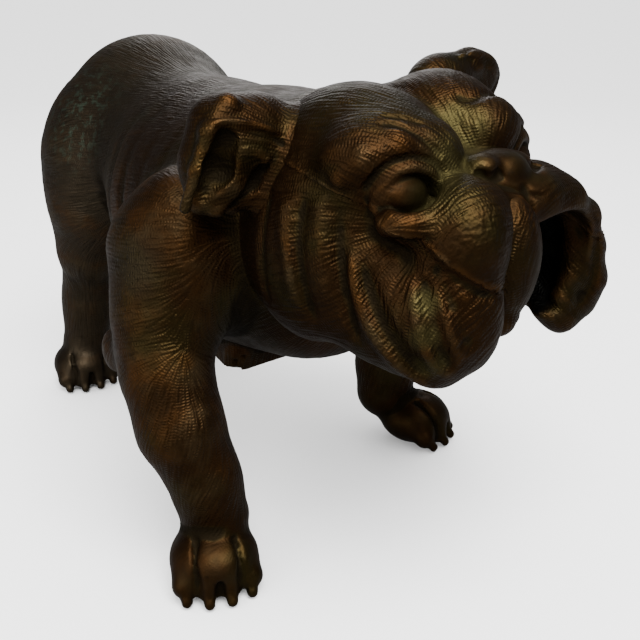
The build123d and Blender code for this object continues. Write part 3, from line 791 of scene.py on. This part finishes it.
def hair_flow(points, normals):
    """Direction in which the coat lies: back from the nose, along the trunk and down the legs."""
    from_nose = unit(points - from_head(MUZZLE_TIP))
    trunk = np.tile(vec(0.0, 0.95, -0.3), (len(points), 1))
    down = np.tile(vec(0.0, 0.1, -1.0), (len(points), 1))
    face = np.clip((head_axes(points)[:, 1] + 12) / 14, 0, 1)[:, None]
    low = np.clip((72 - points[:, 2]) / 20, 0, 1)[:, None] * (1 - face)
    flow = from_nose * face + (1 - face) * (trunk * (1 - low) + down * low)
    flow += 0.25 * np.stack([grain(points, 16, s) for s in (1, 2, 3)], 1)
    flow -= normals * (flow * normals).sum(1)[:, None]
    return unit(flow)


def strokes(points, flow, pitch, length, seed=0):
    """Random values drawn out along the coat, as combed hair is."""
    steps = np.linspace(-0.5, 0.5, 7) * length
    return sum(grain(points + flow * s, pitch, seed) for s in steps) / len(steps) * 1.9


def coat_mask(points):
    """How much of the coat shows: little on the nose, the eyes, the mouth and the paws."""
    head = head_axes(points)
    mask = np.ones(len(points), np.float32)
    for place, radius in BARE:
        away = np.linalg.norm(head - vec(*place), axis=1)
        mask *= np.clip((away - radius * 0.75) / (radius * 0.4), 0, 1)
    return mask * np.clip((points[:, 2] - 14) / 10, 0.15, 1)


def vertex_normals(points, faces):
    """Direction out of the surface at each point."""
    corner = points[faces]
    face_normals = np.cross(corner[:, 2] - corner[:, 0], corner[:, 3] - corner[:, 1])
    total = np.zeros_like(points)
    for i in range(4):
        np.add.at(total, faces[:, i], face_normals)
    return unit(total)


def relief(points, faces, normals, rounds):
    """How far each point stands above (+) or below (-) its surroundings, in millimetres."""
    ends = np.concatenate([faces[:, [i, (i + 1) % 4]] for i in range(4)])
    ends = np.concatenate([ends, ends[:, ::-1]])
    count = np.bincount(ends[:, 0], minlength=len(points))
    smooth = points.astype(np.float64)
    for _ in range(rounds):
        total = [np.bincount(ends[:, 0], smooth[ends[:, 1], axis], len(points)) for axis in range(3)]
        smooth = np.stack(total, 1) / np.maximum(count, 1)[:, None]
    return ((points - smooth) * normals).sum(1)


HEAD_CELL, BODY_CELL, FINER = ((0.8, 1.7, 1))
CHIN_CELL = 0.8
CHAMBER_CELL = 2.6
FRAME_CELL = 0.6
DOWEL_CELL = 0.5
RELIEF_ROUNDS = 30 if FINER else 8
FULL_RELIEF = 0.35  # height above the surroundings that counts as fully proud
HAIR_LENGTH = 5.0
HEAD_HAIR_PITCH = 1.3
BODY_HAIR_PITCH = 1.5
MOUTH_SHADE_FRONT = 47  # the inside of the mouth is painted black as shade from here back


def new_object(name, points, faces, normals=None, attributes=None):
    """A mesh object from frame points in millimetres."""
    mesh = bpy.data.meshes.new(name)
    mesh.from_pydata([tuple(p) for p in np.asarray(points) * MM], [], [tuple(f) for f in faces])
    mesh.validate()
    for key, values in (attributes or {}).items():
        kind = "FLOAT_VECTOR" if values.ndim == 2 else "FLOAT"
        layer = mesh.attributes.new(key, kind, "POINT")
        layer.data.foreach_set("vector" if values.ndim == 2 else "value", values.astype(np.float32).ravel())
    mesh.polygons.foreach_set("use_smooth", [True] * len(mesh.polygons))
    if normals is not None:
        mesh.normals_split_custom_set_from_vertices([tuple(n) for n in normals])
    item = bpy.data.objects.new(name, mesh)
    bpy.context.scene.collection.objects.link(item)
    return item


def finish_surface(points, faces, hair, pitch):
    """Adds the combed coat to the surface and works out what the finish needs to know."""
    normals = vertex_normals(points, faces)
    height = relief(points, faces, normals, RELIEF_ROUNDS) / FULL_RELIEF
    deep = np.clip(-height, 0, 1)
    proud = np.clip(height, 0, 1)
    flow = hair_flow(points, normals)
    coat = coat_mask(points)
    comb = strokes(points, flow, pitch, HAIR_LENGTH)
    points = points + normals * (hair * coat * comb)[:, None]
    normals = vertex_normals(points, faces)
    head = head_axes(points)
    hollow = blend_forms(head, MOUTH_HOLLOW)
    # Painted shade: points near the mouth's hollow and back from its front are marked to be painted black.
    mouth_shade = np.clip(1.4 - np.abs(hollow) / 0.8, 0, 1) * np.clip((MOUTH_SHADE_FRONT - head[:, 1]) / 3, 0, 1)
    attributes = {"deep": deep, "proud": proud, "coat": coat, "comb": comb, "mouth_shade": mouth_shade, "flow": flow}
    return points, normals, attributes


def pick(points, faces, keep, normals, attributes):
    """The part of a mesh made of the chosen faces."""
    faces = faces[keep]
    used, where = np.unique(faces, return_inverse=True)
    values = {key: value[used] for key, value in attributes.items()}
    return points[used], where.reshape(faces.shape), normals[used], values


def add_caps(points, faces, normals, attributes):
    """Closes the open edges left where a piece was cut from the body."""
    edges = np.stack([faces, np.roll(faces, -1, 1)], 2).reshape(-1, 2)
    key = np.sort(edges, 1) @ np.array([len(points), 1])
    _, first, count = np.unique(key, return_index=True, return_counts=True)
    rim = edges[first[count == 1]]
    if not len(rim):
        return points, [tuple(f) for f in faces], normals, attributes
    label = {}

    def root(a):
        while label.setdefault(a, a) != a:
            label[a] = label[label[a]]
            a = label[a]
        return a

    for a, b in rim:
        label[root(int(a))] = root(int(b))
    groups = {}
    for a, b in rim:
        groups.setdefault(root(int(a)), []).append((int(a), int(b)))
    polygons = [tuple(int(i) for i in f) for f in faces]
    extra = []
    for pairs in groups.values():
        middle = len(points) + len(extra)
        extra.append(points[[a for a, _ in pairs]].mean(0))
        polygons += [(b, a, middle) for a, b in pairs]
    points = np.vstack([points, extra])
    normals = np.vstack([normals, np.tile(vec(0, 0, 1), (len(extra), 1))])
    attributes = {key: np.concatenate([value, np.zeros((len(extra),) + value.shape[1:], value.dtype)])
                  for key, value in attributes.items()}
    return points, polygons, normals, attributes


pieces = []  # every visual piece, with its material slot


def place_piece(name, node, shape, slot="bronze_casting"):
    """Makes a piece of the rigid casting that takes the place of a CAD node."""
    item = new_object(name, *shape)
    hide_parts(node)
    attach(item, "casting")
    pieces.append((item, slot))


def cast_piece(name, node, distance, low, high, cell, hair):
    """Sculpts a casting of the head."""
    points, faces = sculpt(distance, low, high, cell, FINER)
    points, normals, attributes = finish_surface(points, faces, hair, HEAD_HAIR_PITCH)
    place_piece(name, node, (points, faces, normals, attributes))


cast_piece("head_upper", "upper_head_casting", upper_head, (-51, -122, 76), (53, -26, 150), HEAD_CELL, 0.09)
cast_piece("head_jowls", "jowl_casting", jowl, (-51, -122, 62), (53, -26, 134), HEAD_CELL, 0.09)
cast_piece("head_chin", "chin_casting", chin, (-17, -122, 80), (19, -90, 122), CHIN_CELL, 0.05)
cast_piece("ear_right", "right_ear", right_ear, (-71, -70, 100), (-9, -32, 148), HEAD_CELL, 0.05)
cast_piece("ear_left", "left_ear", left_ear, (7, -72, 112), (81, -32, 154), HEAD_CELL, 0.05)

# Dowels that line up the two head castings, inside the cheeks
DOWEL_ACROSS = 22.0
DOWEL_AHEAD = 18.0
DOWEL_HEIGHT = 120.5
DOWEL_RADIUS = 1.5
DOWEL_HALF = 4.4
DOWEL_CHAMFER = 0.4


def dowel_distance(points):
    """A chamfered pin across the seam in each cheek, in head coordinates."""
    head = head_axes(points)
    away = np.hypot(np.abs(head[:, 0]) - DOWEL_ACROSS, head[:, 1] - DOWEL_AHEAD)
    ends = np.abs(head[:, 2] - DOWEL_HEIGHT) - DOWEL_HALF
    chamfer = (away - DOWEL_RADIUS + ends + DOWEL_CHAMFER) * 0.7
    return np.maximum(np.maximum(away - DOWEL_RADIUS, ends), chamfer)


points, faces = sculpt(dowel_distance, (-26, -82, 114), (28, -68, 127), DOWEL_CELL)
place_piece("dowel_pins", "head_dowels", (points, faces, vertex_normals(points, faces)), "brass_fitting")

# Body: one skin, shared out between the trunk, the legs and the tail
TRUNK_OWNER = -1
LEG_CLEAR = 2.2  # distance from the trunk at which a leg's own casting begins
TAIL_CLEAR = 1.2
TAIL_Y = 95  # the tail lies behind this, the chest in front of CHEST_Y
CHEST_Y = -40
CHEST_CLEAR = 6


def share_out(middles):
    """Which casting owns each face of the skin: a leg's number, the tail's, or the trunk's."""
    trunk_gap = trunk_distance(middles)
    leg_gaps = np.stack([leg_distance(middles, name) for name in LEGS], 1)
    nearest = leg_gaps.min(1)
    owner = np.where(trunk_gap > LEG_CLEAR, leg_gaps.argmin(1), TRUNK_OWNER)
    on_tail = (trunk_gap > TAIL_CLEAR) & (chain(middles, TAIL, 3) < nearest) & (middles[:, 1] > TAIL_Y)
    owner[on_tail] = len(LEGS)
    owner[(middles[:, 1] < CHEST_Y) & (nearest > CHEST_CLEAR)] = TRUNK_OWNER
    return owner


def hidden_faces(middles):
    """Faces behind the coin door's frame and inside the throat."""
    x, y, z = belly_axes(middles).T
    behind_frame = (np.abs(x) < 22.6) & (np.abs(y) < 31.6) & (z > 2) & (z < 12)
    in_throat = (off_throat(middles) < THROAT_RADIUS - 0.5) & (middles[:, 1] > -53) & (middles[:, 1] < -46)
    return behind_frame | in_throat


points, faces = sculpt(body_casting, (-83, -80, -2), (87, 124, 152), BODY_CELL, FINER)
points, normals, attributes = finish_surface(points, faces, 0.07, BODY_HAIR_PITCH)
middles = points[faces].mean(1).astype(np.float32)
owner = share_out(middles)
owner[hidden_faces(middles)] = len(LEGS) + 1
for number, name in enumerate([*LEGS, "tail"]):
    shape = add_caps(*pick(points, faces, owner == number, normals, attributes))
    place_piece(name.replace("front", "fore") + "_cast", name, shape)

# Trunk: its skin, the money chamber inside it and the coin door's frame, in one mesh
skin = pick(points, faces, owner == TRUNK_OWNER, normals, attributes)


def bare_metal(points, faces):
    """A surface without a coat, as a group of points, faces, normals and attributes."""
    count = len(points)
    values = {key: np.zeros(count) for key in ("proud", "coat", "comb", "mouth_shade")}
    values["deep"] = np.full(count, 0.35)
    values["flow"] = np.tile(vec(0, 1, 0), (count, 1))
    return points, faces, vertex_normals(points, faces), values


def merged(groups):
    """Several groups of points, faces, normals and attributes as one."""
    shapes, polygons, shape_normals, values = zip(*groups)
    starts = np.cumsum([0] + [len(shape) for shape in shapes[:-1]])
    joined_faces = np.vstack([part + start for part, start in zip(polygons, starts)])
    joined_values = {key: np.concatenate([part[key] for part in values]) for key in values[0]}
    return np.vstack(shapes), joined_faces, np.vstack(shape_normals), joined_values


chamber_points, chamber_faces = sculpt(money_chamber, (-51, -62, 40), (55, 122, 148), CHAMBER_CELL)
middles = chamber_points[chamber_faces].mean(1)
open_end = (belly_axes(middles.astype(np.float32))[:, 2] < FLOOR - 1) | (middles[:, 1] < NECK_Y - 0.5)
chamber = bare_metal(chamber_points, chamber_faces[~open_end][:, ::-1])
frame_points, frame_faces = sculpt(door_frame, (-26, -36, -4), (26, 36, 8), FRAME_CELL)
frame_metal = bare_metal(from_belly(frame_points), frame_faces)
place_piece("torso_cast", "torso_casting", merged([skin, chamber, frame_metal]))

# ---- Materials ------------
PER_MM = 1000.0  # shader positions are metres


class Shader:
    """A node material under construction, with the few nodes that the finishes share."""

    def __init__(self, name):
        self.material = bpy.data.materials.new(name)
        self.material.use_nodes = True
        self.nodes = self.material.node_tree.nodes
        self.links = self.material.node_tree.links
        self.nodes.clear()
        self.surface = self.nodes.new("ShaderNodeBsdfPrincipled")
        self.output = self.nodes.new("ShaderNodeOutputMaterial")
        self.links.new(self.surface.outputs[0], self.output.inputs["Surface"])
        place = self.nodes.new("ShaderNodeTexCoord")
        self.position = self.vector("SCALE", place.outputs["Object"], scale=PER_MM)

    def put(self, value, socket):
        if isinstance(value, bpy.types.NodeSocket):
            self.links.new(value, socket)
        else:
            socket.default_value = value

    def vector(self, operation, a, b=None, scale=None):
        node = self.nodes.new("ShaderNodeVectorMath")
        node.operation = operation
        self.put(a, node.inputs[0])
        if b is not None:
            self.put(b, node.inputs[1])
        if scale is not None:
            self.put(scale, node.inputs["Scale"])
        return node.outputs["Value" if operation == "DISTANCE" else "Vector"]

    def math(self, operation, a, b=0.0, c=0.0, clamp=False):
        node = self.nodes.new("ShaderNodeMath")
        node.operation = operation
        node.use_clamp = clamp
        for value, socket in zip((a, b, c), node.inputs):
            self.put(value, socket)
        return node.outputs[0]

    def times(self, a, b):
        return self.math("MULTIPLY", a, b)

    def plus(self, a, b):
        return self.math("ADD", a, b)

    def ramp(self, value, low, high, start=0.0, end=1.0):
        """Maps low..high smoothly to start..end."""
        node = self.nodes.new("ShaderNodeMapRange")
        node.interpolation_type = "SMOOTHSTEP"
        for number, socket in zip((value, low, high, start, end), node.inputs):
            self.put(number, socket)
        return node.outputs[0]

    def noise(self, pitch, detail=2.0, rough=0.5, position=None):
        node = self.nodes.new("ShaderNodeTexNoise")
        self.put(position or self.position, node.inputs["Vector"])
        node.inputs["Scale"].default_value = 1 / pitch
        node.inputs["Detail"].default_value = detail
        node.inputs["Roughness"].default_value = rough
        return node.outputs["Fac"]

    def cells(self, pitch):
        node = self.nodes.new("ShaderNodeTexVoronoi")
        self.put(self.position, node.inputs["Vector"])
        node.inputs["Scale"].default_value = 1 / pitch
        return node.outputs["Distance"]

    def attribute(self, name, kind="Fac"):
        node = self.nodes.new("ShaderNodeAttribute")
        node.attribute_name = name
        return node.outputs[kind]

    def mix(self, share, a, b):
        node = self.nodes.new("ShaderNodeMix")
        node.data_type = "RGBA"
        self.put(share, node.inputs[0])
        for value, socket in ((a, node.inputs[6]), (b, node.inputs[7])):
            self.put(value if isinstance(value, bpy.types.NodeSocket) else (*value, 1), socket)
        return node.outputs[2]

    def near(self, place, radius, fade):
        """1 within a radius of a place, 0 beyond the fade, both in millimetres."""
        away = self.vector("DISTANCE", self.position, tuple(place))
        return self.ramp(away, radius, radius + fade, 1, 0)

    def bump(self, height, depth):
        """Raises the surface by height times depth millimetres."""
        node = self.nodes.new("ShaderNodeBump")
        node.inputs["Distance"].default_value = depth / PER_MM
        self.put(height, node.inputs["Height"])
        self.links.new(node.outputs[0], self.surface.inputs["Normal"])

    def finish(self, colour, metallic, roughness):
        self.put(colour, self.surface.inputs["Base Color"])
        self.put(metallic, self.surface.inputs["Metallic"])
        self.put(roughness, self.surface.inputs["Roughness"])
        return self.material


DARK_BROWN = (0.021, 0.0092, 0.0023)
NEAR_BLACK = (0.009, 0.006, 0.0025)
OLIVE = (0.021, 0.0152, 0.004)
WORN = (0.088, 0.036, 0.0085)
PALE_WORN = (0.080, 0.053, 0.024)
GREY_BROWN = (0.034, 0.026, 0.0165)
GREEN = (0.055, 0.085, 0.060)
ROUGH_BRONZE = (0.030, 0.022, 0.012)
STOP_OLIVE = (0.040, 0.033, 0.0105)
# the near-black painted into the mouth as shade
MOUTH_SHADE_BLACK = (0.002, 0.002, 0.0015)
STOP = [(2, 28, 130), (-14, 37.5, 124), (-21, 40.5, 115)]  # between the brows and the nose
LIP_VALLEY = [(-31.8, 46, 96), (-32.5, 46.5, 88), (-30.5, 47.5, 81)]
RUMP = (-24, 74, 118)  # green spots
SHOULDER = (-57, -30, 92)  # rough brazed patch


def brush_lines(s, flow):
    """Noise drawn out along the coat, from six samples."""
    total = None
    for step in (-2.0, -1.2, -0.4, 0.4, 1.2, 2.0):
        value = s.noise(0.75, 0.0, position=s.vector("ADD", s.position, s.vector("SCALE", flow, scale=step)))
        total = value if total is None else s.plus(total, value)
    return s.math("MULTIPLY_ADD", total, 1 / 6 * 5, -2.0, clamp=True)


def patina():
    """Dark brown bronze: combed coat, hollows gone olive and darkened with painted shade, high spots rubbed
    bright, the inside of the mouth painted black as shade.
    """
    s = Shader("bronze_patina")
    coat = s.attribute("coat")
    deep = s.attribute("deep")
    comb = s.attribute("comb")
    fine = s.times(s.math("SUBTRACT", brush_lines(s, s.attribute("flow", "Vector")), 0.5), coat)
    patch = s.noise(7, 4, 0.6)
    speck = s.noise(1.6, 3, 0.7)
    split = s.nodes.new("ShaderNodeSeparateXYZ")
    s.put(s.position, split.inputs[0])

    # brown, olive in the hollows, greyer towards the tail
    colour = s.mix(s.ramp(s.noise(22, 3), 0.46, 0.70), DARK_BROWN, OLIVE)
    colour = s.mix(s.times(s.ramp(deep, 0.1, 0.6), 0.6), colour, OLIVE)
    colour = s.mix(s.times(s.ramp(split.outputs["Y"], 5, 60), 0.85), colour, GREY_BROWN)
    colour = s.mix(s.times(s.ramp(patch, 0.42, 0.75), 0.3), colour, NEAR_BLACK)

    # rubbed high spots, fewer near the ground
    rub = s.plus(s.ramp(s.attribute("proud"), 0.25, 1.0, 0, 0.8), s.times(s.times(comb, coat), 0.16))
    rub = s.math("MULTIPLY", rub, s.ramp(patch, 0.35, 0.65, 0.3, 0.8), clamp=True)
    rub = s.times(rub, s.ramp(split.outputs["Z"], 15, 70, 0.35, 1.0))
    rub = s.math("ADD", rub, s.times(fine, 0.2), clamp=True)
    rub_colour = s.mix(s.ramp(s.noise(12, 3), 0.4, 0.62), WORN, PALE_WORN)
    colour = s.mix(s.times(rub, 0.6), colour, rub_colour)

    # painted shade darkening the hollows, and dark specks of dirt
    shade = s.math("SUBTRACT", s.ramp(deep, 0.25, 0.8), s.times(comb, 0.25), clamp=True)
    colour = s.mix(s.times(shade, 0.85), colour, NEAR_BLACK)
    colour = s.mix(s.times(s.ramp(speck, 0.56, 0.72), 0.45), colour, NEAR_BLACK)

    # stains
    for places, radius, fade, least in ((STOP, 3.5, 8, 0.4), (LIP_VALLEY, 1.5, 3.5, 0.5)):
        for place in places:
            stain = s.times(s.near(from_head(place), radius, fade), s.ramp(patch, 0.25, 0.55, least, 0.9))
            colour = s.mix(stain, colour, STOP_OLIVE)
    # painted shade: the inside of the mouth painted near black
    colour = s.mix(s.attribute("mouth_shade"), colour, MOUTH_SHADE_BLACK)
    spots = s.times(s.ramp(s.noise(2.6, 4, 0.65), 0.5, 0.6), s.near(RUMP, 6, 22))
    colour = s.mix(s.times(spots, 0.5), colour, GREEN)
    rough_patch = s.times(s.near(SHOULDER, 4, 9), s.ramp(patch, 0.3, 0.5))
    colour = s.mix(s.times(rough_patch, 0.7), colour, ROUGH_BRONZE)

    height = s.plus(s.times(fine, 0.8), s.times(speck, 0.25))
    pits = s.ramp(s.cells(1.5), 0.12, 0.32)
    height = s.plus(height, s.times(s.times(pits, rough_patch), 0.8))
    pebbles = s.times(s.noise(1.5, 1), s.near(from_head(CUSHION), 9, 5))
    s.bump(s.plus(height, s.times(pebbles, 1.6)), 0.22)
    roughness = s.plus(s.ramp(patch, 0.3, 0.7, 0.42, 0.55), s.times(shade, 0.25))
    return s.finish(colour, 0.95, roughness)


def plain_metal(name, base, tarnish, worn, grain_pitch, roughness):
    """A fitting: mottled tarnish, tool marks and rubbed patches."""
    s = Shader(name)
    broad = s.noise(6, 4, 0.6)
    speck = s.noise(0.9, 4, 0.7)
    scratch = s.noise(grain_pitch, 2, position=s.vector("MULTIPLY", s.position, (0.35, 3.0, 3.0)))
    colour = s.mix(s.ramp(broad, 0.38, 0.62), base, tarnish)
    colour = s.mix(s.times(s.ramp(scratch, 0.55, 0.75), 0.6), colour, worn)
    colour = s.mix(s.times(s.ramp(speck, 0.58, 0.72), 0.6), colour, tarnish)
    s.bump(s.plus(s.times(scratch, 0.6), s.times(speck, 0.5)), 0.12)
    return s.finish(colour, 0.9, s.ramp(broad, 0.3, 0.7, roughness, roughness + 0.18))


MATERIALS = {
    "bronze_casting": patina(),
    "bronze_door": plain_metal("door_bronze", (0.10, 0.06, 0.025), (0.03, 0.022, 0.011),
                               (0.28, 0.18, 0.08), 1.2, 0.34),
    "brass_fitting": plain_metal("old_brass", (0.34, 0.22, 0.075), (0.12, 0.08, 0.03),
                                 (0.5, 0.38, 0.17), 0.9, 0.3),
    "steel_fastener": plain_metal("old_steel", (0.16, 0.15, 0.14), (0.07, 0.035, 0.018),
                                  (0.36, 0.35, 0.33), 0.7, 0.32),
}
for part in frame["record"]["subparts"]:
    node = frame["nodes"][part["node"]]
    node.data.materials.clear()
    node.data.materials.append(MATERIALS[part["material_slot"]])
for item, slot in pieces:
    item.data.materials.append(MATERIALS[slot])

# ---- Room ------------
# The room is darker in the bronze's reflections, as if dark flags stood around the dog.
FLOOR_HALF = 40.0  # metres
FLOOR_WHITE = 0.93
FLOOR_MIRRORED = 0.12
SKY_POWER = 2.6
SKY_MIRRORED = 0.14
LIGHTS = {  # place, target, size, power
    "key": ((-120, -330, 620), (0, 0, 90), 420, 10),
    "fill": ((-620, -60, 260), (0, 0, 80), 500, 2.0),
    "back": ((420, 520, 480), (0, 20, 90), 420, 1.5),
}
scene = bpy.context.scene


def look(item, place, target):
    """Puts an item at a place in millimetres, facing a target."""
    item.location = Vector(place) * MM
    item.rotation_euler = (Vector(target) - Vector(place)).to_track_quat("-Z", "Y").to_euler()
    scene.collection.objects.link(item)


view = bpy.data.cameras.new("view")
view.lens = 47.8
view.sensor_width = 36
view.clip_start = 0.01
camera = bpy.data.objects.new("camera", view)
look(camera, (-159.15, -231.56, 165.42), (5.4, -29.8, 59.7))
scene.camera = camera

for name, (place, target, size, power) in LIGHTS.items():
    lamp = bpy.data.lights.new(name, "AREA")
    lamp.size = size * MM
    lamp.energy = power
    look(bpy.data.objects.new(name, lamp), place, target)

world = bpy.data.worlds.new("studio")
world.use_nodes = True
scene.world = world
nodes, links = world.node_tree.nodes, world.node_tree.links
strength = nodes.new("ShaderNodeMix")
strength.inputs[2].default_value = SKY_POWER
strength.inputs[3].default_value = SKY_MIRRORED
links.new(nodes.new("ShaderNodeLightPath").outputs["Is Glossy Ray"], strength.inputs[0])
links.new(strength.outputs[0], nodes["Background"].inputs["Strength"])
nodes["Background"].inputs["Color"].default_value = (1, 1, 1, 1)


def floor_paint():
    """Matt white, and clear when it is seen from below."""
    s = Shader("floor_paint")
    path = s.nodes.new("ShaderNodeLightPath")
    tone = s.mix(path.outputs["Is Glossy Ray"], (FLOOR_WHITE,) * 3, (FLOOR_MIRRORED,) * 3)
    material = s.finish(tone, 0.0, 0.9)
    side = s.nodes.new("ShaderNodeMixShader")
    s.put(s.nodes.new("ShaderNodeNewGeometry").outputs["Backfacing"], side.inputs[0])
    s.put(s.surface.outputs[0], side.inputs[1])
    s.put(s.nodes.new("ShaderNodeBsdfTransparent").outputs[0], side.inputs[2])
    s.put(side.outputs[0], s.output.inputs["Surface"])
    return material


floor_mesh = bpy.data.meshes.new("floor")
corners = [(x * FLOOR_HALF, y * FLOOR_HALF, 0) for x, y in ((-1, -1), (1, -1), (1, 1), (-1, 1))]
floor_mesh.from_pydata(corners, [], [(0, 1, 2, 3)])
floor_mesh.materials.append(floor_paint())
floor = bpy.data.objects.new("floor", floor_mesh)
scene.collection.objects.link(floor)
